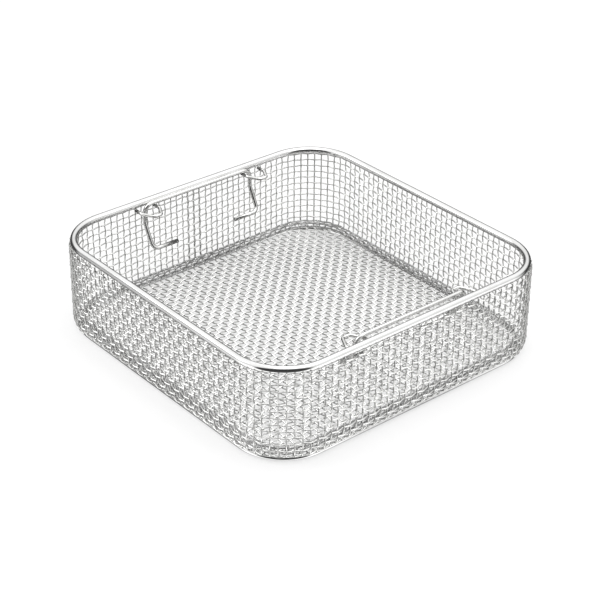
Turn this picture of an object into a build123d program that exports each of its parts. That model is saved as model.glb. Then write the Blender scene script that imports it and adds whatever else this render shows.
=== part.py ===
"""Autoclave basket: a square open basket of woven steel wire with two lift-up bail handles.

A stout rim rod and a lighter base rod are bent to rounded squares. A strip of woven wire goes
round the outside of the rim rod as the wall, and its lower edge is turned in over the base rod.
A second piece of the same weave, with its edge turned up inside the wall, is the floor. Each handle is one bent wire. Its legs hang through two wire loops under the
rim, and its feet are turned in, so that they stop against the loops when it is lifted.

Frame: origin at the centre of the base, +Z up. The walls with the handles face -X (rear)
and +X (front).
"""
import os
from math import cos, degrees, radians, sin, sqrt

from build123d import *

# ---- driving sizes, in millimetres --------------------------------------------------------
overall_x = 252.8          # over the weave, across the two walls with handles
overall_y = 247.8          # over the weave, along those walls
overall_height = 70.8      # base rod underside to rim top
outer_corner_radius = 41.4

rim_wire = 5.3
base_wire = 3.0
rim_facets = 8             # flats round each section, which keep the meshes light
wire_facets = 6
base_inset = 1.35          # base rod, in from the rim rod's centre line

mesh_wire = 1.0            # one strand of the weave
wall_thickness = 1.2       # the wall's weave, pressed flat
wall_gap = 0.2             # between the rim rod's side and the weave welded to it
strand_width = 1.8         # width of a strand seen face on
wall_rows = 4              # gaps up the wall
x_wall_columns = 6         # gaps along each straight wall that runs along X
y_wall_columns = 5
corner_columns = 2         # gaps round each corner
seam_width = 6.5           # the strip's ends lap in the middle of the rear wall
seam_side = 2.3            # middle of the lap, along Y

floor_height = 1.6         # underside of the floor weave above the ground
floor_turn_up = 7.5        # turned-up edge, from the floor's underside
x_floor_columns = 10
y_floor_columns = 9

handle_wire = 3.0
leg_spacing = 96.0
leg_straight = 14.0        # grip centre line down to the kink
leg_kink_in = 9.4          # how far the kinked part leads inwards
leg_drop = 31.7            # grip centre line down to the foot's
foot_length = 21.6         # turned-in foot, from the leg's line to its cut end
grip_bend = 6.5
kink_bend = 9.0
foot_bend = 5.0

loop_wire = 2.4
loop_width = 15.6          # across the arms' centre lines
loop_arm = 9.5             # straight part of the arms, from the rim's centre line
loop_reach = 18.3          # rim's centre line to the loop's nose
loop_nose = 6.0            # width of the nose
loop_shoulder_bend = 5.0
loop_nose_bend = 2.6

seat_gap = 0.3             # between welded or resting pieces
rear_grip_gap = 0.3        # rear grip hangs against the rim
front_grip_inset = 9.2     # front grip hangs free, this far inside the rim's centre line
front_tilt = 15.0          # its legs swing back under the grip, degrees
rear_handle_side = 2.4     # the handles have shifted a little along Y in their loops
rear_loops_side = 4.4
front_handle_side = 1.2
front_loops_side = 0.3

# ---- sizes that follow ----------------------------------------------------------------------
rim_cover = wall_thickness + wall_gap + rim_wire / 2
half_x = overall_x / 2 - rim_cover            # rim rod's centre line
half_y = overall_y / 2 - rim_cover
centre_radius = outer_corner_radius - rim_cover
rim_z = overall_height - rim_wire / 2
base_z = base_wire / 2

wall_inset = wall_thickness / 2 - rim_cover   # insets are from the rim's centre line
strand_half = wall_thickness / 6
wall_outer = -rim_cover
wall_inner = wall_thickness - rim_cover
strand_outer = wall_inset - strand_half
strand_inner = wall_inset + strand_half
wall_bottom = base_wire + seat_gap
wall_top = rim_z

floor_outer = base_inset + base_wire / 2 + seat_gap
floor_inner = floor_outer + 2 * mesh_wire

loop_z = rim_z - rim_wire / 2 - loop_wire / 2 + mesh_wire / 2
loop_start = sqrt((rim_wire / 2 + seat_gap) ** 2 - (rim_z - loop_z - loop_wire / 2) ** 2)
grip_z = loop_z + loop_wire / 2 + seat_gap + handle_wire / 2
rear_grip_inset = rim_wire / 2 + rear_grip_gap + handle_wire / 2


# ---- helpers --------------------------------------------------------------------------------
def outline(inset):
    """The basket's rounded square, drawn in from the rim rod's centre line."""
    return RectangleRounded(2 * (half_x - inset), 2 * (half_y - inset), centre_radius - inset)


def band(outer, inner, bottom, top):
    """An upright band that follows the wall between two insets and two heights."""
    ring = outline(outer) - outline(inner)
    return Pos(0, 0, bottom) * extrude(ring, top - bottom)


def bend_normal(bend):
    """The direction that a bend turns about."""
    return (bend % 0).cross(bend % 1)


def rod_along(path, wire, facets):
    """Wire bent along a path: each straight run is extruded and each bend is revolved."""
    runs = path.order_edges()
    first_bend = next(run for run in runs if run.geom_type == GeomType.CIRCLE)
    start = Plane(origin=path @ 0, x_dir=bend_normal(first_bend), z_dir=path % 0)
    section = start * RegularPolygon(wire / 2, facets)
    parts = []
    for run in runs:
        if run.geom_type == GeomType.LINE:
            parts.append(extrude(section, run.length))
            section = section.moved(Location(run @ 1 - run @ 0))
        else:
            hinge = Axis(run.arc_center, bend_normal(run))
            turn = degrees(run.length / run.radius)
            parts.append(revolve(section, hinge, turn))
            section = section.rotate(hinge, turn)
    return parts[0].fuse(*parts[1:])


def rod_ring(inset, height, wire, facets):
    """A closed rod bent to the basket's rounded square."""
    path = outline(inset).wire().moved(Location((0, 0, height)))
    return rod_along(path, wire, facets)


def even_steps(length, count):
    """Middles of the posts that part a length into equal gaps, without the two ends."""
    return [length * (i / count - 0.5) for i in range(1, count)]


# ---- rods -----------------------------------------------------------------------------------
def make_rim_ring():
    return rod_ring(0, rim_z, rim_wire, rim_facets)


def make_base_ring():
    return rod_ring(base_inset, base_z, base_wire, wire_facets)


# ---- weave ----------------------------------------------------------------------------------
def wall_post_places():
    """Every post's place and facing, counter-clockwise from the middle of the front wall."""
    flat_x = 2 * (half_x - centre_radius)
    flat_y = 2 * (half_y - centre_radius)
    reach = centre_radius - wall_inset
    places = []
    for side in range(4):
        along_y = side % 2 == 0
        flat, count = (flat_y, y_wall_columns) if along_y else (flat_x, x_wall_columns)
        face = half_x - wall_inset if along_y else half_y - wall_inset
        turn = Rot(0, 0, 90 * side)
        places += [turn * Pos(face, step, 0) for step in even_steps(flat, count)]
        corner = turn * Pos(face - reach, flat / 2, 0)
        for i in range(corner_columns + 1):
            places.append(corner * Rot(0, 0, 90 * i / corner_columns) * Pos(reach, 0, 0))
    return places


def make_wall_mesh():
    """Level strands, posts that pass outside and inside them in turn, and the turned-in hem."""
    pitch = (wall_top - wall_bottom - strand_width) / wall_rows
    strands = []
    for row in range(wall_rows + 1):
        low = wall_bottom + row * pitch
        strands.append(band(strand_outer, strand_inner, low, low + strand_width))

    height = wall_top - wall_bottom
    post_depth = 2 * wall_thickness
    outside = band(wall_outer, strand_outer, wall_bottom, wall_top)
    inside = band(strand_inner, wall_inner, wall_bottom, wall_top)
    post = Pos(0, 0, wall_bottom + height / 2) * Box(post_depth, strand_width, height)
    outer_posts, inner_posts = [], []
    for index, place in enumerate(wall_post_places()):
        (outer_posts if index % 2 == 0 else inner_posts).append(place * post)
    lap = Box(post_depth, seam_width, height)
    outer_posts.append(Pos(wall_inset - half_x, seam_side, wall_bottom + height / 2) * lap)
    posts = [outside & one for one in outer_posts] + [inside & one for one in inner_posts]
    hem = band(wall_outer, floor_outer - seat_gap, wall_bottom, wall_bottom + wall_thickness)
    return hem.fuse(*strands, *posts)


def make_floor_mesh():
    """Crossed strands, the ones along Y under those along X, in a turned-up edge."""
    span_x = 2 * (half_x - floor_inner)
    span_y = 2 * (half_y - floor_inner)
    thick = 2 * mesh_wire
    lower = floor_height + 3 * mesh_wire / 4
    upper = floor_height + 5 * mesh_wire / 4
    bar_along_y = Box(strand_width, span_y + mesh_wire, 3 * mesh_wire / 2)
    bar_along_x = Box(span_x + mesh_wire, strand_width, 3 * mesh_wire / 2)
    bars = [Pos(x, 0, lower) * bar_along_y for x in even_steps(span_x, x_floor_columns)]
    bars += [Pos(0, y, upper) * bar_along_x for y in even_steps(span_y, y_floor_columns)]
    inside = extrude(outline(floor_inner - mesh_wire / 2), floor_height + thick)
    edge = band(floor_outer, floor_inner, floor_height, floor_height + floor_turn_up)
    return edge.fuse(*[inside & bar for bar in bars])


# ---- handles and their loops, drawn for the rear wall ---------------------------------------
def at_rear(inset, side, height):
    """A point given by its distance inside the rim's centre line at the rear wall."""
    return Vector(inset - half_x, side, height)


def make_handle(grip_inset, tilt, side):
    """One bent wire: grip, two kinked legs and two turned-in feet, swung by tilt."""
    lean = radians(tilt)

    def bend_point(inwards, down, along):
        inset = grip_inset + inwards * cos(lean) - down * sin(lean)
        return at_rear(inset, side + along, grip_z - down * cos(lean) - inwards * sin(lean))

    leg = leg_spacing / 2
    half_path = [
        bend_point(leg_kink_in, leg_drop, foot_length - leg),
        bend_point(leg_kink_in, leg_drop, -leg),
        bend_point(0, leg_straight, -leg),
        bend_point(0, 0, -leg),
    ]
    other_half = [
        bend_point(0, 0, leg),
        bend_point(0, leg_straight, leg),
        bend_point(leg_kink_in, leg_drop, leg),
        bend_point(leg_kink_in, leg_drop, leg - foot_length),
    ]
    bends = [foot_bend, kink_bend, grip_bend, grip_bend, kink_bend, foot_bend]
    path = FilletPolyline(*half_path, *other_half, radius=bends)
    return rod_along(path, handle_wire, wire_facets)


def make_guide_loop(side):
    """A tapered wire eye under the rim, lying level, open towards the wall."""
    arm = loop_width / 2
    nose = loop_nose / 2
    path = FilletPolyline(
        at_rear(loop_start, side - arm, loop_z),
        at_rear(loop_arm, side - arm, loop_z),
        at_rear(loop_reach, side - nose, loop_z),
        at_rear(loop_reach, side + nose, loop_z),
        at_rear(loop_arm, side + arm, loop_z),
        at_rear(loop_start, side + arm, loop_z),
        radius=[loop_shoulder_bend, loop_nose_bend, loop_nose_bend, loop_shoulder_bend],
    )
    return rod_along(path, loop_wire, wire_facets)


def at_front(shape):
    """The same piece on the opposite wall."""
    return mirror(shape, about=Plane.YZ)


# ---- the basket -----------------------------------------------------------------------------
leg_side = leg_spacing / 2
pieces = {
    "rim_ring": make_rim_ring(),
    "base_ring": make_base_ring(),
    "wall_mesh": make_wall_mesh(),
    "floor_mesh": make_floor_mesh(),
    "rear_handle": make_handle(rear_grip_inset, 0, rear_handle_side),
    "front_handle": at_front(make_handle(front_grip_inset, front_tilt, front_handle_side)),
    "rear_guide_loop_left": make_guide_loop(rear_loops_side - leg_side),
    "rear_guide_loop_right": make_guide_loop(rear_loops_side + leg_side),
    "front_guide_loop_left": at_front(make_guide_loop(front_loops_side - leg_side)),
    "front_guide_loop_right": at_front(make_guide_loop(front_loops_side + leg_side)),
}

os.makedirs("parts", exist_ok=True)
for name, piece in pieces.items():
    export_step(piece, f"parts/{name}.step")
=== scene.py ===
"""The looks of an autoclave basket: woven steel wire, polished rods, bent-wire handles and loops.

Every length is in metres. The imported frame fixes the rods, handles and loops. The weave is drawn
here strand by strand, in the space that the frame's two mesh nodes hold.
"""
from __future__ import annotations

import logging
from collections.abc import Sequence
from dataclasses import dataclass, field
from enum import Enum
from math import atan2, ceil, cos, pi, radians, sin, tan

import bmesh
import bpy
from mathutils import Matrix, Vector

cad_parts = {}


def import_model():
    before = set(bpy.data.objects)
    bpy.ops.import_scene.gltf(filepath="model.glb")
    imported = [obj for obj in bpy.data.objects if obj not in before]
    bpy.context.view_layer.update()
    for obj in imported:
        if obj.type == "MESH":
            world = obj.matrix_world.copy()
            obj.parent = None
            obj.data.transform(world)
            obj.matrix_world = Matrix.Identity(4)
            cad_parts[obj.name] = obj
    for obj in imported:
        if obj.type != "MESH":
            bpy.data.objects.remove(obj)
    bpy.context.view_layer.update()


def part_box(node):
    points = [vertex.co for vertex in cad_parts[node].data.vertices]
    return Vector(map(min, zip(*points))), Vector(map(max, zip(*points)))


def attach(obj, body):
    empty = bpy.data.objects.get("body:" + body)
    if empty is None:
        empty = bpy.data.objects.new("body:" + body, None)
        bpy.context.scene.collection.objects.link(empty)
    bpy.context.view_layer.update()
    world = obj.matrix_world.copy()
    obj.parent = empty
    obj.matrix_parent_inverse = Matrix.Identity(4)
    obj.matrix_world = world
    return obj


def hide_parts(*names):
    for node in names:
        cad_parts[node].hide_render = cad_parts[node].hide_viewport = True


log = logging.getLogger("autoclave_basket")

MM = 0.001
LEVEL_UP = Vector((0.0, 0.0, 1.0))
ACROSS = Vector((0.0, 1.0, 0.0))
INWARD = Vector((1.0, 0.0, 0.0))
WHITE = (1.0, 1.0, 1.0, 1.0)
MATT_WHITE = (0.92, 0.92, 0.92, 1.0)
RGB = tuple[float, float, float]
Stops = Sequence[tuple[float, float]]


# ---- shader maths ---------------------------------------------------------------------------
class Shade:
    """A shader socket holding a number, so that Python operators add Math nodes."""

    def __init__(self, tree: bpy.types.NodeTree, socket: bpy.types.NodeSocket) -> None:
        """Wraps one output socket.

        Args:
            tree: The node tree that new Math nodes go into.
            socket: The output socket that carries the number.
        """
        self.tree = tree
        self.socket = socket

    def _math(self, operation: str, *values: Shade | float) -> Shade:
        """Adds one Math node.

        Args:
            operation: The Math node's operation.
            *values: Its inputs, as wrapped sockets or plain numbers.

        Returns:
            The node's output.
        """
        node = self.tree.nodes.new("ShaderNodeMath")
        node.operation = operation
        for slot, value in zip(node.inputs, values):
            if isinstance(value, Shade):
                self.tree.links.new(value.socket, slot)
            else:
                slot.default_value = value
        return Shade(self.tree, node.outputs[0])

    def __add__(self, other: Shade | float) -> Shade:
        """Returns the sum."""
        return self._math("ADD", self, other)

    __radd__ = __add__

    def __sub__(self, other: Shade | float) -> Shade:
        """Returns the difference."""
        return self._math("SUBTRACT", self, other)

    def __rsub__(self, other: float) -> Shade:
        """Returns a number less this one."""
        return self._math("SUBTRACT", other, self)

    def __mul__(self, other: Shade | float) -> Shade:
        """Returns the product."""
        return self._math("MULTIPLY", self, other)

    __rmul__ = __mul__

    def __truediv__(self, other: Shade | float) -> Shade:
        """Returns the quotient."""
        return self._math("DIVIDE", self, other)

    def clamp(self) -> Shade:
        """Returns the number held between 0 and 1."""
        limited = self._math("ADD", self, 0.0)
        limited.socket.node.use_clamp = True
        return limited


class ShaderBook:
    """Adds nodes to one material or world."""

    # The places of a Mix node's colour sockets, whose names its number sockets share.
    MIX_FIRST, MIX_SECOND, MIX_RESULT = 6, 7, 2

    def __init__(self, tree: bpy.types.NodeTree) -> None:
        """Starts an empty tree.

        Args:
            tree: The tree to fill. Its default nodes are removed.
        """
        self.tree = tree
        tree.nodes.clear()

    def add(self, kind: str, settings: dict | None = None, **sockets: object) -> bpy.types.Node:
        """Adds one node, its settings first and then its sockets.

        Args:
            kind: The node's type name.
            settings: Attributes to set on the node, or a ramp's stops under "stops".
            **sockets: Input names, with underscores for spaces, and their values or links.

        Returns:
            The new node.
        """
        node = self.tree.nodes.new(kind)
        for name, value in (settings or {}).items():
            if name == "stops":
                self._set_stops(node.color_ramp, value)
            else:
                setattr(node, name, value)
        for name, value in sockets.items():
            slot = node.inputs[name.replace("_", " ")]
            if isinstance(value, Shade):
                value = value.socket
            if isinstance(value, bpy.types.NodeSocket):
                self.tree.links.new(value, slot)
            else:
                slot.default_value = value
        return node

    @staticmethod
    def _set_stops(ramp: bpy.types.ColorRamp, stops: Stops) -> None:
        """Sets a grey ramp.

        Args:
            ramp: The ramp to change.
            stops: Pairs of place and brightness, in order.
        """
        while len(ramp.elements) < len(stops):
            ramp.elements.new(1.0)
        for element, (place, level) in zip(ramp.elements, stops):
            element.position = place
            element.color = (level, level, level, 1.0)

    def value(self, socket: bpy.types.NodeSocket) -> Shade:
        """Returns a socket wrapped for maths."""
        return Shade(self.tree, socket)

    def object_point(self) -> bpy.types.NodeSocket:
        """Returns the Object coordinates."""
        return self.add("ShaderNodeTexCoord").outputs["Object"]

    def noise(self, scale: float, detail: float) -> Shade:
        """Adds noise over the Object coordinates.

        Args:
            scale: Waves in each metre.
            detail: Octaves of finer noise.

        Returns:
            The noise, from 0 to 1.
        """
        node = self.add(
            "ShaderNodeTexNoise", Vector=self.object_point(), Scale=scale, Detail=detail
        )
        return self.value(node.outputs["Fac"])

    def ramp(self, number: Shade, stops: Stops) -> Shade:
        """Returns a number led through a grey ramp."""
        node = self.add("ShaderNodeValToRGB", {"stops": stops}, Fac=number)
        return self.value(node.outputs["Color"])

    def mix_colours(self, amount: Shade, first: RGB, second: RGB) -> bpy.types.NodeSocket:
        """Mixes two colours.

        Args:
            amount: The second colour's share.
            first: The colour at 0.
            second: The colour at 1.

        Returns:
            The mixed colour.
        """
        node = self.tree.nodes.new("ShaderNodeMix")
        node.data_type = "RGBA"
        self.tree.links.new(amount.socket, node.inputs["Factor"])
        node.inputs[self.MIX_FIRST].default_value = (*first, 1.0)
        node.inputs[self.MIX_SECOND].default_value = (*second, 1.0)
        return node.outputs[self.MIX_RESULT]


# ---- finishes -------------------------------------------------------------------------------
@dataclass(frozen=True)
class SteelFinish:
    """Electropolished stainless steel, faintly uneven at a coarse and a fine scale."""

    name: str
    slot: str
    bright: RGB
    dull: RGB
    roughness: float
    roughness_spread: float
    cloud_scale: float = 60.0
    cloud_detail: float = 4.0
    grain_scale: float = 2600.0
    grain_detail: float = 2.0
    patch_stops: Stops = ((0.35, 0.0), (0.7, 1.0))
    patch_share: float = 0.6
    grain_share: float = 0.4
    bump_height: float = 0.02 * MM
    bump_strength: float = 0.25

    def make(self) -> bpy.types.Material:
        """Builds the material.

        Returns:
            The node material.
        """
        material = bpy.data.materials.new(self.name)
        material.use_nodes = True
        book = ShaderBook(material.node_tree)
        clouds = book.noise(self.cloud_scale, self.cloud_detail)
        grain = book.noise(self.grain_scale, self.grain_detail)
        patches = book.ramp(clouds, self.patch_stops)
        uneven = self.patch_share * patches + self.grain_share * grain
        rough = self.roughness + self.roughness_spread * uneven
        bump = book.add(
            "ShaderNodeBump",
            Height=grain,
            Distance=self.bump_height,
            Strength=self.bump_strength,
        )
        surface = book.add(
            "ShaderNodeBsdfPrincipled",
            Base_Color=book.mix_colours(patches, self.bright, self.dull),
            Metallic=1.0,
            Roughness=rough,
            Normal=bump.outputs["Normal"],
        )
        book.add("ShaderNodeOutputMaterial", Surface=surface.outputs[0])
        return material


class Finish(Enum):
    """The finishes of the basket's pieces; the turned-up edge's steel is darkened as painted
    shade.
    """

    ROD = SteelFinish(
        "rod_steel", "polished_rod", (0.74, 0.74, 0.74), (0.66, 0.66, 0.65), 0.08, 0.07
    )
    HANDLE = SteelFinish(
        "handle_steel", "handle_wire", (0.72, 0.72, 0.71), (0.62, 0.62, 0.61), 0.10, 0.08
    )
    LOOP = SteelFinish(
        "loop_steel", "loop_wire", (0.72, 0.72, 0.71), (0.62, 0.62, 0.61), 0.10, 0.08
    )
    WEAVE = SteelFinish(
        "weave_steel", "woven_wire", (0.76, 0.76, 0.75), (0.67, 0.67, 0.66), 0.12, 0.09
    )
    # Painted shade: the floor's turned-up edge strands get the weave's steel darkened to about
    # half, standing in for the shade and dark reflections along that band.
    EDGE = SteelFinish(
        "edge_steel_painted_shade", "woven_wire", (0.42, 0.42, 0.42), (0.28, 0.28, 0.28), 0.20, 0.14
    )


class Wardrobe:
    """Keeps one material for each finish."""

    def __init__(self) -> None:
        """Starts with no material made."""
        self._made: dict[Finish, bpy.types.Material] = {}

    def dress(self, piece: bpy.types.Object, finish: Finish) -> None:
        """Gives a piece its only material.

        Args:
            piece: The object to dress.
            finish: Its finish.
        """
        if finish not in self._made:
            self._made[finish] = finish.value.make()
        piece.data.materials.clear()
        piece.data.materials.append(self._made[finish])


# ---- wire modelling -------------------------------------------------------------------------
def even(first: float, last: float, count: int) -> list[float]:
    """Returns count + 1 evenly spaced numbers from first to last."""
    return [first + (last - first) * i / count for i in range(count + 1)]


def finish_mesh(bm: bmesh.types.BMesh, name: str) -> bpy.types.Mesh:
    """Turns a drawn mesh into mesh data whose faces point outwards.

    Args:
        bm: The mesh. It is freed.
        name: The new mesh's name.

    Returns:
        The mesh.
    """
    bmesh.ops.recalc_face_normals(bm, faces=bm.faces)
    mesh = bpy.data.meshes.new(name)
    bm.to_mesh(mesh)
    bm.free()
    return mesh


def finish_piece(bm: bmesh.types.BMesh, name: str) -> bpy.types.Object:
    """Turns a drawn mesh into a smooth object at the origin.

    Args:
        bm: The mesh. It is freed.
        name: The piece's name.

    Returns:
        The new object.
    """
    mesh = finish_mesh(bm, name)
    mesh.shade_smooth()
    piece = bpy.data.objects.new(name, mesh)
    bpy.context.scene.collection.objects.link(piece)
    return piece


def stamp(bm: bmesh.types.BMesh, pattern: bpy.types.Mesh, place: Matrix) -> None:
    """Adds one copy of a finished pattern.

    Args:
        bm: The mesh to add to.
        pattern: The pattern, drawn at the origin.
        place: Where the copy goes.
    """
    copy = pattern.copy()
    copy.transform(place)
    bm.from_mesh(copy)
    bpy.data.meshes.remove(copy)


@dataclass(frozen=True)
class Wire:
    """A round wire swept along a path with an operator for each station."""

    diameter: float
    sides: int

    def sweep(
        self, bm: bmesh.types.BMesh, points: Sequence[Vector], up: Vector, closed: bool = False
    ) -> None:
        """Adds the wire to a mesh.

        Args:
            bm: The mesh to add to.
            points: The centre line, one point for each ring of the wire.
            up: A direction that the wire never takes.
            closed: Whether the last ring joins the first.
        """
        ring = bmesh.ops.create_circle(bm, segments=self.sides, radius=self.diameter / 2)
        verts = list(ring["verts"])
        edges = list(dict.fromkeys(edge for vert in verts for edge in vert.link_edges))
        frame = self._frame(points, 0, up, closed)
        bmesh.ops.transform(bm, matrix=frame, verts=verts)
        first_edges = edges
        for index in range(1, len(points)):
            grown = bmesh.ops.extrude_edge_only(bm, edges=edges)["geom"]
            verts = [part for part in grown if isinstance(part, bmesh.types.BMVert)]
            edges = [part for part in grown if self._is_rim(part, verts)]
            following = self._frame(points, index, up, closed)
            bmesh.ops.transform(bm, matrix=following @ frame.inverted(), verts=verts)
            frame = following
        if closed:
            bmesh.ops.bridge_loops(bm, edges=first_edges + edges)
        else:
            bmesh.ops.contextual_create(bm, geom=first_edges)
            bmesh.ops.contextual_create(bm, geom=edges)

    def piece(
        self, name: str, points: Sequence[Vector], up: Vector, closed: bool = False
    ) -> bpy.types.Object:
        """Draws the wire as a piece of its own.

        Args:
            name: The piece's name.
            points: The centre line.
            up: A direction that the wire never takes.
            closed: Whether its ends meet.

        Returns:
            The piece.
        """
        bm = bmesh.new()
        self.sweep(bm, points, up, closed)
        return finish_piece(bm, name)

    def pattern(self, name: str, points: Sequence[Vector], up: Vector) -> bpy.types.Mesh:
        """Draws one open strand apart, because operators slow down as a mesh grows.

        Args:
            name: The strand's name.
            points: Its centre line.
            up: A direction that the strand never takes.

        Returns:
            The strand, to be stamped into a piece and then removed.
        """
        bm = bmesh.new()
        self.sweep(bm, points, up)
        return finish_mesh(bm, name)

    @staticmethod
    def _is_rim(part: object, verts: Sequence[bmesh.types.BMVert]) -> bool:
        """Tells whether a part is an edge between two of the newest vertices."""
        return isinstance(part, bmesh.types.BMEdge) and all(v in verts for v in part.verts)

    @staticmethod
    def _frame(points: Sequence[Vector], index: int, up: Vector, closed: bool) -> Matrix:
        """Finds a ring's place.

        Args:
            points: The centre line.
            index: The ring's point.
            up: A direction that the path never takes.
            closed: Whether the path's ends meet.

        Returns:
            A matrix whose third axis follows the path.
        """
        last = len(points) - 1
        before = points[index - 1] if index > 0 or closed else points[0]
        after = points[(index + 1) % len(points)] if index < last or closed else points[last]
        along = (after - before).normalized()
        side = up.cross(along).normalized()
        rotation = Matrix((side, along.cross(side), along)).transposed()
        return Matrix.Translation(points[index]) @ rotation.to_4x4()


@dataclass(frozen=True)
class BentPath:
    """A centre line of straight runs joined by round bends."""

    corners: Sequence[Vector]
    bends: Sequence[float]
    steps: int = 12

    def points(self) -> list[Vector]:
        """Places the rings: one at each end of a run and several round each bend.

        Returns:
            The centre line's points, in order.
        """
        line = [self.corners[0]]
        for before, corner, after, radius in zip(
            self.corners, self.corners[1:], self.corners[2:], self.bends
        ):
            line += self._bend(before, corner, after, radius)
        return line + [self.corners[-1]]

    def _bend(self, before: Vector, corner: Vector, after: Vector, radius: float) -> list[Vector]:
        """Rounds one corner.

        Args:
            before: The corner ahead of it.
            corner: The corner to round.
            after: The corner that follows.
            radius: The bend's radius at the centre line.

        Returns:
            The arc's points.
        """
        toward = (before - corner).normalized()
        away = (after - corner).normalized()
        half = toward.angle(away) / 2
        reach = radius / tan(half)
        centre = corner + (toward + away).normalized() * (radius / sin(half))
        first = corner + toward * reach - centre
        last = corner + away * reach - centre
        axis = first.cross(last)
        turns = even(0.0, pi - 2 * half, self.steps)
        return [centre + Matrix.Rotation(turn, 3, axis) @ first for turn in turns]


@dataclass(frozen=True)
class RoundedSquare:
    """The level outline that the rods and the weave follow, starting mid rear wall."""

    half_x: float
    half_y: float
    radius: float

    @property
    def sides(self) -> tuple[float, ...]:
        """The lengths of the outline's runs and arcs, in order from the start."""
        flat_x = 2 * (self.half_x - self.radius)
        flat_y = 2 * (self.half_y - self.radius)
        arc = pi / 2 * self.radius
        return (flat_y / 2, arc, flat_x, arc, flat_y, arc, flat_x, arc, flat_y / 2)

    @property
    def length(self) -> float:
        """The way once round."""
        return sum(self.sides)

    def place(self, distance: float) -> tuple[Vector, Vector]:
        """Finds a point of the outline.

        Args:
            distance: The way along the outline from the middle of the rear wall, going to -Y.

        Returns:
            The point and the outward direction there, both level.
        """
        rest = distance % self.length
        heading = pi
        corner_x, corner_y = self.half_x - self.radius, self.half_y - self.radius
        start = Vector((-self.half_x, 0.0, 0.0))
        for index, side in enumerate(self.sides):
            if rest <= side or index == len(self.sides) - 1:
                break
            rest -= side
            if index % 2:
                heading += pi / 2
            start = self._start_after(index, corner_x, corner_y)
        outward = Vector((cos(heading), sin(heading), 0.0))
        if index % 2 == 0:
            return start + Vector((-outward.y, outward.x, 0.0)) * rest, outward
        centre = start - outward * self.radius
        turned = Matrix.Rotation(rest / self.radius, 3, "Z") @ outward
        return centre + turned * self.radius, turned

    def _start_after(self, index: int, corner_x: float, corner_y: float) -> Vector:
        """Finds where the run or arc after the given one starts."""
        starts = (
            (-self.half_x, -corner_y), (-corner_x, -self.half_y),
            (corner_x, -self.half_y), (self.half_x, -corner_y),
            (self.half_x, corner_y), (corner_x, self.half_y),
            (-corner_x, self.half_y), (-self.half_x, corner_y),
        )
        return Vector((*starts[index], 0.0))

    def inset(self, amount: float) -> RoundedSquare:
        """Returns the outline drawn inwards."""
        return RoundedSquare(self.half_x - amount, self.half_y - amount, self.radius - amount)

    def ring(self, height: float, steps: int = 18) -> list[Vector]:
        """Places a rod's rings round the outline.

        Args:
            height: The rod's height.
            steps: Parts of each corner.

        Returns:
            Points at both ends of each run and round each corner.
        """
        places = []
        passed = 0.0
        for index, side in enumerate(self.sides):
            if index % 2:
                places += even(passed, passed + side, steps)
            passed += side
        spots = [self.place(distance)[0] for distance in places]
        return [Vector((spot.x, spot.y, height)) for spot in spots]


# ---- the weave ------------------------------------------------------------------------------
STRAND = Wire(1.0 * MM, 8)
WEAVE_HALF = 1.0 * MM  # From the weave's middle surface to the outside of its crimped strands.


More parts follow.
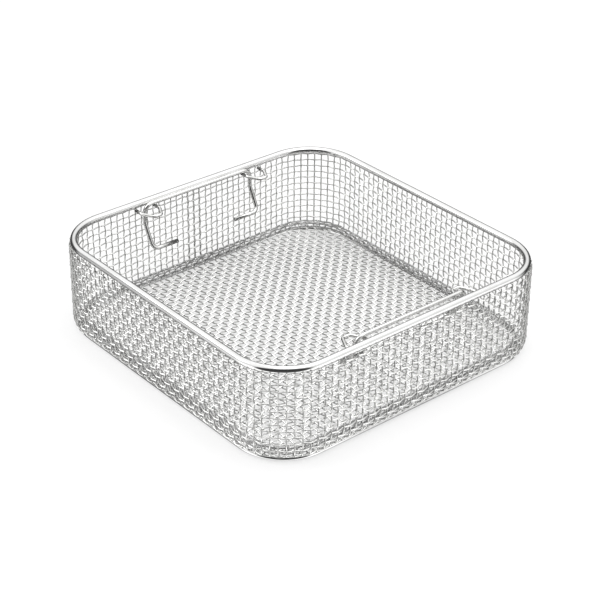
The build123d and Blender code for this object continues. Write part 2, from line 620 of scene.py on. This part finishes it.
@dataclass
class WovenWall:
    """The wall strip: level strands round the basket and upright ones crossing them.

    Its lower edge is bent inwards and lies on the base rod.
    """

    outline: RoundedSquare
    seat: float
    top: float
    wire: Wire = STRAND
    level_crimp: float = 0.5 * MM
    upright_crimp: float = 0.38 * MM
    uprights: int = 176
    rows: int = 14
    row_pitch: float = 4.93 * MM
    overshoot: float = 3.2 * MM
    foot: float = 0.4 * MM
    bend: float = 4.0 * MM
    lap_pitches: int = 2
    lap_step: float = 0.5 * MM
    lap_aside: float = 0.8 * MM
    lap_middle: float = 2.3 * MM
    lap_ramp: float = 0.4
    rings_a_pitch: int = 4

    @property
    def pitch(self) -> float:
        """The spacing of the upright strands."""
        return self.outline.length / self.uprights

    @property
    def lap(self) -> float:
        """How far the strip's end runs past its start."""
        return (self.lap_pitches + 0.5) * self.pitch

    def _profile(self, way: float, outwards: float) -> tuple[float, float]:
        """Follows the strip's section from its top down the wall and round the lower bend.

        Args:
            way: The way down from the top level strand.
            outwards: The offset from the strip's middle surface.

        Returns:
            The distance outwards from the wall's middle surface, and the height.
        """
        flat = self.top - self.seat - self.bend
        if way <= flat:
            return outwards, self.top - way
        angle = min((way - flat) / self.bend, pi / 2)
        past = max(way - flat - pi / 2 * self.bend, 0.0)
        radius = self.bend + outwards
        offset = radius * cos(angle) - self.bend - past
        return offset, self.seat + self.bend - radius * sin(angle)

    def _lap_shift(self, distance: float) -> float:
        """Finds how far the strip's end steps inwards to lap over its start."""
        past = (distance - (self.outline.length - self.lap)) / (self.lap_ramp * self.lap)
        past = min(max(past, 0.0), 1.0)
        return self.lap_step * past * past * (3 - 2 * past)

    def _point(self, distance: float, outwards: float, height: float) -> Vector:
        """Finds a point of the strip.

        Args:
            distance: The way along the strip from its start.
            outwards: The offset from the strip's middle surface.
            height: The height above the ground.

        Returns:
            The point.
        """
        start = -self.lap_middle - self.lap / 2
        spot, outward = self.outline.place(distance + start)
        spot = spot + outward * (outwards - self._lap_shift(distance))
        return Vector((spot.x, spot.y, height))

    def _level_strand(self, row: int) -> bpy.types.Mesh:
        """Draws one level strand where the strip's section puts it.

        Args:
            row: Its number, from the top.

        Returns:
            The strand.
        """
        reach = self.outline.length + self.lap
        count = ceil(reach / self.pitch) * self.rings_a_pitch
        points = []
        for stop in even(0.0, reach, count):
            wave = self.level_crimp * cos(pi * (stop / self.pitch + row))
            points.append(self._point(stop, *self._profile(row * self.row_pitch, wave)))
        return self.wire.pattern(f"level_strand_{row}", points, LEVEL_UP)

    def build_levels(self) -> bpy.types.Object:
        """Builds the level strands as one piece; on the flat wall every second row is alike.

        Returns:
            The piece.
        """
        flat_rows = ceil((self.top - self.seat - self.bend) / self.row_pitch)
        strands: dict[int, bpy.types.Mesh] = {}
        bm = bmesh.new()
        for row in range(self.rows):
            first = row % 2 if row < flat_rows else row
            if first not in strands:
                strands[first] = self._level_strand(first)
            drop = (row - first) * self.row_pitch
            stamp(bm, strands[first], Matrix.Translation((0.0, 0.0, -drop)))
        for strand in strands.values():
            bpy.data.meshes.remove(strand)
        return finish_piece(bm, "wall_level_strands")

    def build_uprights(self) -> bpy.types.Object:
        """Builds the upright strands as one piece.

        Returns:
            The piece.
        """
        length = (self.rows - 1) * self.row_pitch + self.foot
        count = round((length + self.overshoot) / self.row_pitch * self.rings_a_pitch)
        bm = bmesh.new()
        for phase in (0, 1):
            stops = even(-self.overshoot, length, count)
            points = [self._upright_point(stop, phase) for stop in stops]
            pattern = self.wire.pattern(f"upright_strand_{phase}", points, ACROSS)
            for index in range(phase, self.uprights + self.lap_pitches + 1, 2):
                aside = self.lap_aside if index >= self.uprights else 0.0
                stamp(bm, pattern, self._upright_place(index * self.pitch + aside))
            bpy.data.meshes.remove(pattern)
        return finish_piece(bm, "wall_upright_strands")

    def _upright_point(self, way: float, phase: int) -> Vector:
        """Finds a point of an upright strand.

        Args:
            way: The way down from the top level strand.
            phase: 0 or 1, inside or outside the top level strand.

        Returns:
            The point, with X outwards from the wall's middle surface.
        """
        wave = -self.upright_crimp * cos(pi * (way / self.row_pitch + phase))
        outwards, height = self._profile(way, wave)
        return Vector((outwards, 0.0, height))

    def _upright_place(self, distance: float) -> Matrix:
        """Finds where an upright strand stands, with its X axis outwards."""
        spot = self._point(distance, 0.0, 0.0)
        outward = self._point(distance, 1.0, 0.0) - spot
        turn = Matrix.Rotation(atan2(outward.y, outward.x), 4, "Z")
        return Matrix.Translation(spot) @ turn


@dataclass
class WovenFloor:
    """The floor tray: crossed strands whose ends turn up inside the wall."""

    outline: RoundedSquare
    middle: float
    rim_height: float
    wire: Wire = STRAND
    crimp: float = 0.5 * MM
    pitch: float = 5.06 * MM
    bend: float = 2.6 * MM
    edge_wire: Wire = Wire(1.2 * MM, 8)
    edge_heights: tuple[float, ...] = (4.6 * MM, 7.1 * MM, 9.6 * MM)
    rings_a_pitch: int = 4

    def _reach(self, across: float, half_along: float, half_across: float) -> float:
        """Finds where a strand meets the turned-up edge.

        Args:
            across: The strand's distance from the middle line.
            half_along: Half the tray's size along the strand.
            half_across: Half the tray's size across it.

        Returns:
            Half the strand's flat reach.
        """
        past = abs(across) - (half_across - self.outline.radius)
        if past <= 0:
            return half_along
        radius = self.outline.radius
        return half_along - radius + (radius * radius - past * past) ** 0.5

    def _path(self, reach: float, phase: int) -> list[Vector]:
        """Draws one strand along X with both ends turned up.

        Args:
            reach: Half its flat length, out to the turned-up part's centre line.
            phase: 0 or 1, over or under at the middle crossing.

        Returns:
            The centre line.
        """
        flat = reach - self.bend
        arc = pi / 2 * self.bend
        rise = self.rim_height - self.middle - self.bend

        def point(distance: float) -> Vector:
            """Finds the point at a way along the strand from its middle."""
            side = 1.0 if distance >= 0 else -1.0
            way = abs(distance)
            wave = self.crimp * cos(pi * (distance / self.pitch + phase))
            if way <= flat:
                return Vector((distance, 0.0, self.middle + wave))
            angle = min((way - flat) / self.bend, pi / 2)
            past = max(way - flat - arc, 0.0)
            radius = self.bend - wave
            x = flat + radius * sin(angle)
            z = self.middle + self.bend - radius * cos(angle) + past
            return Vector((side * x, 0.0, z))

        total = flat + arc + rise
        steps = 2 * max(1, round(total / self.pitch)) * self.rings_a_pitch
        return [point(stop) for stop in even(-total, total, steps)]

    def build(self, along_x: bool) -> bpy.types.Object:
        """Builds the strands of one direction as one piece.

        Args:
            along_x: Whether the strands run along X, and not along Y.

        Returns:
            The piece.
        """
        outline = self.outline
        half_along, half_across = (
            (outline.half_x, outline.half_y) if along_x else (outline.half_y, outline.half_x)
        )
        side_count = int((half_across - self.bend - self.wire.diameter) / self.pitch)
        bm = bmesh.new()
        turn = Matrix.Identity(4) if along_x else Matrix.Rotation(pi / 2, 4, "Z")
        for index in range(-side_count, side_count + 1):
            across = index * self.pitch
            reach = self._reach(across, half_along, half_across)
            phase = (index + (0 if along_x else 1)) % 2
            strand = self.wire.pattern("floor_strand", self._path(reach, phase), ACROSS)
            stamp(bm, strand, turn @ Matrix.Translation((0.0, across, 0.0)))
            bpy.data.meshes.remove(strand)
        return finish_piece(bm, f"floor_strands_along_{'x' if along_x else 'y'}")

    def build_edge(self) -> bpy.types.Object:
        """Builds the level strands that cross the turned-up ends.

        Returns:
            The piece.
        """
        waves = 2 * round(self.outline.length / self.pitch / 2)
        pitch = self.outline.length / waves
        bm = bmesh.new()
        for turn, height in enumerate(self.edge_heights):
            points = []
            for stop in even(0.0, self.outline.length, waves * self.rings_a_pitch)[:-1]:
                spot, outward = self.outline.place(stop)
                wave = self.crimp * cos(pi * (stop / pitch + turn))
                points.append(spot + outward * wave + LEVEL_UP * height)
            self.edge_wire.sweep(bm, points, LEVEL_UP, True)
        return finish_piece(bm, "floor_edge_strands")


# ---- rods, handles and loops ----------------------------------------------------------------
@dataclass(frozen=True)
class BailShape:
    """One bent-wire handle, drawn for the rear wall."""

    wire: Wire = Wire(3.0 * MM, 20)
    leg_spacing: float = 96.0 * MM
    leg_straight: float = 14.0 * MM
    kink_in: float = 9.4 * MM
    drop: float = 31.7 * MM
    foot: float = 21.6 * MM
    foot_bend: float = 5.0 * MM
    kink_bend: float = 9.0 * MM
    grip_bend: float = 6.5 * MM

    def points(self, grip: Vector, tilt: float) -> list[Vector]:
        """Bends the wire.

        Args:
            grip: The middle of the grip.
            tilt: How far the legs swing back under the grip.

        Returns:
            The centre line, foot to foot.
        """
        leg = self.leg_spacing / 2
        swing = Matrix.Rotation(-tilt, 3, "Y")

        def spot(inwards: float, down: float, along: float) -> Vector:
            """Finds a corner from its place beside the grip, before the swing."""
            return grip + swing @ Vector((inwards, along, -down))

        near = [
            spot(self.kink_in, self.drop, self.foot - leg),
            spot(self.kink_in, self.drop, -leg),
            spot(0.0, self.leg_straight, -leg),
            spot(0.0, 0.0, -leg),
        ]
        far = [
            spot(0.0, 0.0, leg),
            spot(0.0, self.leg_straight, leg),
            spot(self.kink_in, self.drop, leg),
            spot(self.kink_in, self.drop, leg - self.foot),
        ]
        bends = (self.foot_bend, self.kink_bend, self.grip_bend)
        return BentPath(near + far, bends + bends[::-1]).points()


@dataclass(frozen=True)
class EyeShape:
    """One guide loop, drawn for the rear wall."""

    wire: Wire = Wire(2.4 * MM, 18)
    width: float = 15.6 * MM
    arm: float = 9.5 * MM
    reach: float = 18.3 * MM
    nose: float = 6.0 * MM
    shoulder_bend: float = 5.0 * MM
    nose_bend: float = 2.6 * MM

    def points(self, start: Vector, rim_x: float) -> list[Vector]:
        """Bends the wire.

        Args:
            start: The middle of the loop's open side.
            rim_x: The rim's centre line, from which the arms and the nose are measured.

        Returns:
            The centre line, end to end.
        """
        arm, nose = self.width / 2, self.nose / 2
        outer = [(start.x, arm), (rim_x + self.arm, arm), (rim_x + self.reach, nose)]
        half = [Vector((x, start.y - y, start.z)) for x, y in outer]
        other = [Vector((x, start.y + y, start.z)) for x, y in reversed(outer)]
        bends = (self.shoulder_bend, self.nose_bend, self.nose_bend, self.shoulder_bend)
        return BentPath(half + other, bends).points()


# ---- the camera, the lights and the floor ---------------------------------------------------
@dataclass(frozen=True)
class SoftLamp:
    """One square area lamp aimed at the basket."""

    name: str
    place: tuple[float, float, float]
    size: float
    power: float

    def add(self) -> None:
        """Adds the lamp to the scene."""
        data = bpy.data.lights.new(self.name, "AREA")
        data.shape = "SQUARE"
        data.size = self.size
        data.energy = self.power
        lamp = bpy.data.objects.new(self.name, data)
        toward = -Vector(self.place)
        lamp.matrix_world = (
            Matrix.Translation(self.place) @ toward.to_track_quat("-Z", "Y").to_matrix().to_4x4()
        )
        bpy.context.scene.collection.objects.link(lamp)


LAMPS = (
    SoftLamp("overhead", (0.2, 0.3, 1.8), 1.6, 18.0),
    SoftLamp("key_left", (-1.2, -1.4, 1.5), 1.0, 10.0),
)

# What the steel mirrors. A height or a facing of 0 to 1 goes from straight down to straight up,
# or from away from the camera to towards it.
TENT_LEVELS = ((0.5, 0.95), (0.65, 1.0), (0.85, 1.35))
LOW_REACH = ((0.60, 1.0), (0.72, 0.0))
BACK_FLAG = ((0.30, 1.0), (0.58, 0.0))
FRONT_FLAG = ((0.79, 0.0), (0.85, 1.0))
BACK_DEPTH = 0.95
FRONT_DEPTH = 0.95
AMBIENT = 0.8

# The ground that the steel mirrors glows, with a painted shadow under the basket and painted light
# past it. The stops' places are the square of the distance from the basket's middle, as shares of
# SHADE_REACH squared.
SHADE_REACH = 0.25
STEEL_FLOOR_PAINTED_SHADE_AND_LIGHT = ((0.22, 0.48), (0.34, 1.7))
FLOOR_GLOW = 0.6


@dataclass(frozen=True)
class Studio:
    """A white sweep under soft light, seen from the front right corner."""

    camera_place: tuple[float, float, float] = (0.79036, -0.66353, 0.63092)
    azimuth: float = radians(49.912)
    elevation: float = radians(30.36)
    roll: float = radians(0.579)
    lens: float = 102.84
    sensor: float = 36.0
    floor_size: float = 12.0

    def set_camera(self) -> None:
        """Adds the camera."""
        az, el = self.azimuth, self.elevation
        back = Vector((sin(az) * cos(el), -cos(az) * cos(el), sin(el)))
        level = Vector((cos(az), sin(az), 0.0))
        upright = back.cross(level)
        right = level * cos(self.roll) + upright * sin(self.roll)
        top = back.cross(right)
        data = bpy.data.cameras.new("camera")
        data.sensor_width = self.sensor
        data.lens = self.lens
        camera = bpy.data.objects.new("camera", data)
        rotation = Matrix((right, top, back)).transposed().to_4x4()
        camera.matrix_world = Matrix.Translation(self.camera_place) @ rotation
        bpy.context.scene.collection.objects.link(camera)
        bpy.context.scene.camera = camera

    def set_world(self) -> None:
        """Lights the room: white to the camera, a tent with a dark side to the steel."""
        world = bpy.data.worlds.new("studio")
        bpy.context.scene.world = world
        world.use_nodes = True
        book = ShaderBook(world.node_tree)
        rays = book.add("ShaderNodeLightPath")
        camera_ray = book.value(rays.outputs["Is Camera Ray"])
        glossy_ray = book.value(rays.outputs["Is Glossy Ray"])
        direction = book.add("ShaderNodeTexCoord").outputs["Generated"]
        split = book.add("ShaderNodeSeparateXYZ", Vector=direction)
        rise = book.value(split.outputs["Z"])
        low = book.ramp(rise * 0.5 + 0.5, LOW_REACH)
        tent = book.ramp(rise * 0.5 + 0.5, TENT_LEVELS)
        steel_level = tent * self._flags(book, split, 1.0, low)
        level = camera_ray + (1 - camera_ray) * (
            glossy_ray * steel_level + (1 - glossy_ray) * AMBIENT
        )
        background = book.add("ShaderNodeBackground", Color=WHITE, Strength=level)
        book.add("ShaderNodeOutputWorld", Surface=background.outputs[0])

    def _flags(
        self, book: ShaderBook, split: bpy.types.Node, sign: float, low: Shade | float
    ) -> Shade:
        """Dims the light where dark flags stand: behind the basket and about the camera.

        Args:
            book: The tree to add to.
            split: A direction, parted into X, Y and Z.
            sign: 1 where the light comes from that direction, and -1 where from its opposite.
            low: 1 in the directions that the flag behind the basket reaches up to.

        Returns:
            The share of light that is left.
        """
        toward = Vector(self.camera_place).xy.normalized() * (sign / 2)
        level_x, level_y = book.value(split.outputs["X"]), book.value(split.outputs["Y"])
        facing = level_x * toward.x + level_y * toward.y + 0.5
        behind = book.ramp(facing, BACK_FLAG)
        ahead = book.ramp(facing, FRONT_FLAG)
        return (1 - behind * low * BACK_DEPTH) * (1 - ahead * FRONT_DEPTH)

    def set_floor(self) -> None:
        """Adds the white floor, which keeps the basket's shadow and glows to the steel with
        painted shade and light.
        """
        bm = bmesh.new()
        bmesh.ops.create_grid(bm, x_segments=1, y_segments=1, size=self.floor_size / 2)
        mesh = bpy.data.meshes.new("floor")
        bm.to_mesh(mesh)
        bm.free()
        floor = bpy.data.objects.new("floor", mesh)
        bpy.context.scene.collection.objects.link(floor)
        material = bpy.data.materials.new("white_sweep")
        material.use_nodes = True
        book = ShaderBook(material.node_tree)
        rays = book.add("ShaderNodeLightPath")
        camera_ray = book.value(rays.outputs["Is Camera Ray"])
        glossy_ray = book.value(rays.outputs["Is Glossy Ray"])
        geometry = book.add("ShaderNodeNewGeometry")
        inward = book.add("ShaderNodeSeparateXYZ", Vector=geometry.outputs["Incoming"])
        spot = book.add("ShaderNodeSeparateXYZ", Vector=geometry.outputs["Position"])
        spot_x, spot_y = book.value(spot.outputs["X"]), book.value(spot.outputs["Y"])
        away = (spot_x * spot_x + spot_y * spot_y) / SHADE_REACH**2
        # Painted shade and light: to glossy rays the floor is an emission, dim under the basket
        # like a shadow, glowing past it, and dimmed where the flags stand.
        seen = book.ramp(away, STEEL_FLOOR_PAINTED_SHADE_AND_LIGHT)
        level = camera_ray + glossy_ray * seen * self._flags(book, inward, -1.0, 1.0)
        glow = book.add("ShaderNodeEmission", Color=WHITE, Strength=level)
        matt = book.add("ShaderNodeBsdfDiffuse", Color=MATT_WHITE)
        share = (camera_ray * FLOOR_GLOW + glossy_ray).clamp()
        both = book.add("ShaderNodeMixShader", Fac=share)
        material.node_tree.links.new(matt.outputs[0], both.inputs[1])
        material.node_tree.links.new(glow.outputs[0], both.inputs[2])
        book.add("ShaderNodeOutputMaterial", Surface=both.outputs[0])
        mesh.materials.append(material)

    def set_lamps(self) -> None:
        """Adds two large soft lamps."""
        for lamp in LAMPS:
            lamp.add()


# ---- the basket -----------------------------------------------------------------------------
CORNER = 40.0 * MM  # The rim's corners, at the rod's outside.
RIM_SIDES = 28
BASE_SIDES = 20
BASE_INSET = 1.35 * MM  # From the rim's centre line inwards to the base rod's.
TOP_ROW_DROP = 4.42 * MM  # From the wall's top edge to its top level strand.
EDGE_RISE = 1.0 * MM  # How far the floor's turned-up ends stand over its solid.
SEAT_GAP = 0.3 * MM  # Between a handle's grip and the loops that it rests on.
LOOP_START = 2.0 * MM  # From the rim's centre line inwards to a loop's two ends.


@dataclass(frozen=True)
class HandleWall:
    """One of the two walls that carry a handle."""

    name: str
    faces: float
    grip_inset: float
    tilt: float

    def turned(self, points: list[Vector]) -> list[Vector]:
        """Returns points drawn for the rear wall, mirrored to this wall."""
        return [Vector((-self.faces * point.x, point.y, point.z)) for point in points]


class Side(Enum):
    """The walls with handles."""

    REAR = HandleWall("rear", -1.0, 4.45 * MM, 0.0)
    FRONT = HandleWall("front", 1.0, 9.2 * MM, radians(15.0))


@dataclass
class Basket:
    """Draws every wire of the basket in the places that the frame gives."""

    wardrobe: Wardrobe = field(default_factory=Wardrobe)

    @property
    def rim(self) -> RoundedSquare:
        """The rim rod's centre line."""
        _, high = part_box("rim_ring")
        radius = self.rim_wire / 2
        return RoundedSquare(high.x - radius, high.y - radius, CORNER - radius)

    @property
    def rim_wire(self) -> float:
        """The rim rod's diameter."""
        low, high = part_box("rim_ring")
        return high.z - low.z

    def _add(self, piece: bpy.types.Object, finish: Finish, node: str, body: str) -> None:
        """Dresses a piece, ties it to a body and lets it stand for a node.

        Args:
            piece: The new piece.
            finish: Its finish.
            node: The frame node that it stands for.
            body: The body that carries it.
        """
        self.wardrobe.dress(piece, finish)
        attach(piece, body)
        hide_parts(node)
        log.info("%s: %d faces", piece.name, len(piece.data.polygons))

    def add_rods(self) -> None:
        """Adds the rim rod and the base rod."""
        low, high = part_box("rim_ring")
        points = self.rim.ring((low.z + high.z) / 2)
        rim = Wire(self.rim_wire, RIM_SIDES).piece("rim_rod", points, LEVEL_UP, True)
        self._add(rim, Finish.ROD, "rim_ring", "basket")
        low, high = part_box("base_ring")
        outline = self.rim.inset(BASE_INSET)
        points = outline.ring((low.z + high.z) / 2)
        base = Wire(high.z - low.z, BASE_SIDES).piece("base_rod", points, LEVEL_UP, True)
        self._add(base, Finish.ROD, "base_ring", "basket")

    def add_wall(self) -> None:
        """Adds the woven wall."""
        low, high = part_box("wall_mesh")
        outline = self.rim.inset(self.rim.half_x - high.x + WEAVE_HALF)
        wall = WovenWall(outline, low.z + STRAND.diameter / 2, high.z - TOP_ROW_DROP)
        for piece in (wall.build_levels(), wall.build_uprights()):
            self._add(piece, Finish.WEAVE, "wall_mesh", "basket")

    def add_floor(self) -> None:
        """Adds the woven floor."""
        low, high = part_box("floor_mesh")
        outline = self.rim.inset(self.rim.half_x - (high.x - WEAVE_HALF))
        floor = WovenFloor(outline, low.z + WEAVE_HALF, high.z + EDGE_RISE)
        for piece in (floor.build(True), floor.build(False)):
            self._add(piece, Finish.WEAVE, "floor_mesh", "basket")
        # The turned-up edge's strands get the darkened steel, a painted shade.
        self._add(floor.build_edge(), Finish.EDGE, "floor_mesh", "basket")

    def add_handle(self, side: Side) -> None:
        """Adds one handle.

        Args:
            side: The wall that it hangs on.
        """
        shape = BailShape()
        node = f"{side.value.name}_handle"
        low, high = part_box(node)
        grip_x = side.value.grip_inset - self.rim.half_x
        loop_top = self.loop_height + EyeShape.wire.diameter / 2
        grip_z = loop_top + SEAT_GAP + shape.wire.diameter / 2
        grip = Vector((grip_x, (low.y + high.y) / 2, grip_z))
        points = side.value.turned(shape.points(grip, side.value.tilt))
        piece = shape.wire.piece(f"{side.value.name}_bail", points, INWARD)
        self._add(piece, Finish.HANDLE, node, node)

    @property
    def loop_height(self) -> float:
        """The guide loops' middle height."""
        low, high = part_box("rear_guide_loop_left")
        return (low.z + high.z) / 2

    def add_loop(self, side: Side, hand: str) -> None:
        """Adds one guide loop.

        Args:
            side: The wall that it is fixed to.
            hand: "left" or "right".
        """
        shape = EyeShape()
        node = f"{side.value.name}_guide_loop_{hand}"
        low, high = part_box(node)
        start = Vector((LOOP_START - self.rim.half_x, (low.y + high.y) / 2, self.loop_height))
        points = side.value.turned(shape.points(start, -self.rim.half_x))
        piece = shape.wire.piece(f"{side.value.name}_eye_{hand}", points, LEVEL_UP)
        self._add(piece, Finish.LOOP, node, "basket")


def main() -> None:
    """Builds the basket and its studio."""
    logging.basicConfig(level=logging.INFO, format="%(name)s: %(message)s")
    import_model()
    bpy.context.scene.view_settings.view_transform = "Standard"
    studio = Studio()
    studio.set_camera()
    studio.set_world()
    studio.set_floor()
    studio.set_lamps()
    basket = Basket()
    basket.add_rods()
    basket.add_wall()
    basket.add_floor()
    for side in Side:
        basket.add_handle(side)
        for hand in ("left", "right"):
            basket.add_loop(side, hand)


if __name__ == "__main__":
    main()
